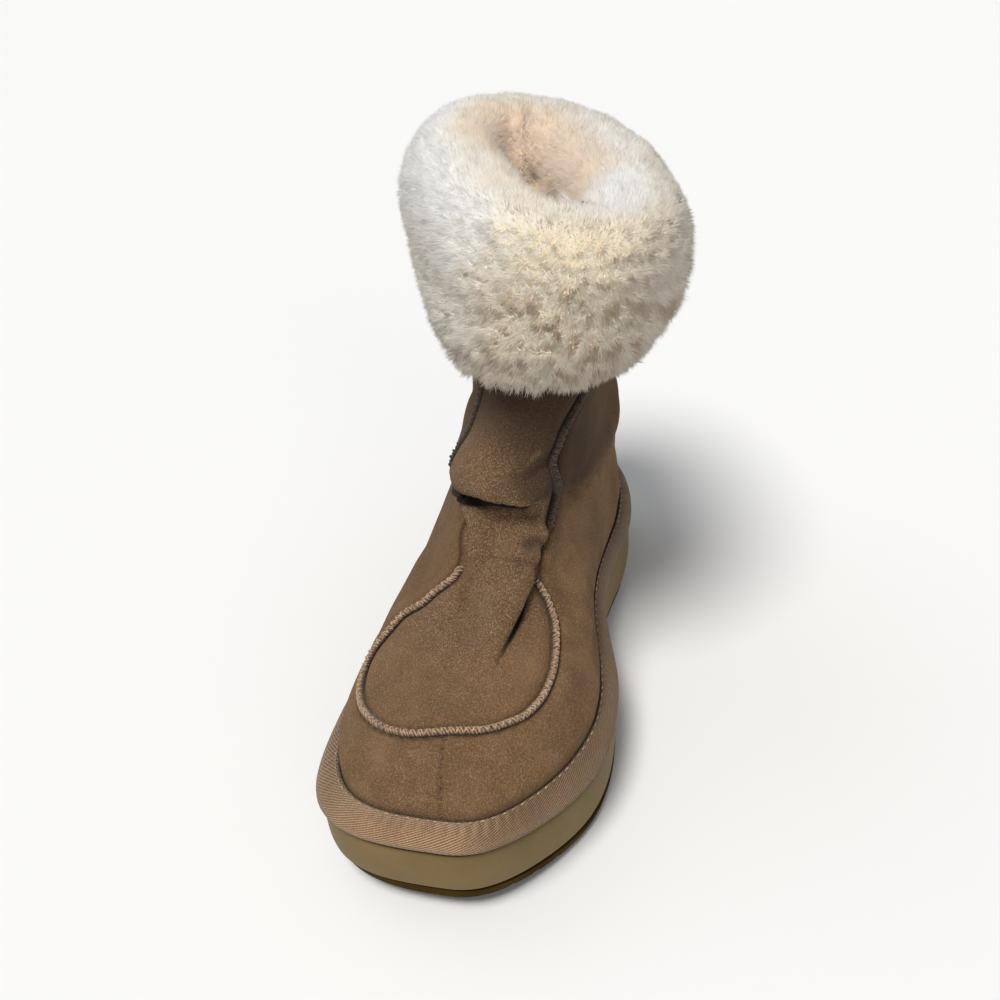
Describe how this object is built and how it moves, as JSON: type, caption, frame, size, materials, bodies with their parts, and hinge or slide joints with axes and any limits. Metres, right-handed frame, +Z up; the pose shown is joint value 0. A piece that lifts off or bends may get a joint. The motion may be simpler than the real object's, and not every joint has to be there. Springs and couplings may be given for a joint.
{
  "type": "sheepskin boot",
  "caption": "Ankle-high slip-on winter boot in brown suede with a turned-down cream wool cuff, a whipped seam round the toe plug and a flat foam sole with a lugged tread.",
  "frame": {"origin": "on the floor, under the middle of the whole boot with its cuff", "axes": "+Z up, toe towards -Y, heel towards +Y, +X the inner side of the foot"},
  "size_m": [0.1272, 0.2697, 0.2241],
  "materials": {
    "outsole_rubber": "matt, worn at the lugs",
    "midsole_foam": "matt khaki foam rubber",
    "twill_tape": "woven twill tape, rolled",
    "insole_fleece": "short trodden fleece",
    "suede": "napped suede, skin side out",
    "thread": "waxed thread over a rolled edge",
    "wool": "dense clumped sheep's wool"
  },
  "bodies": {
    "root": {"outsole": "outsole_rubber", "midsole": "midsole_foam", "binding": "twill_tape", "insole": "insole_fleece", "upper": "suede", "whip_seam": "thread", "fleece_cuff": "wool"}
  },
  "joints": []
}
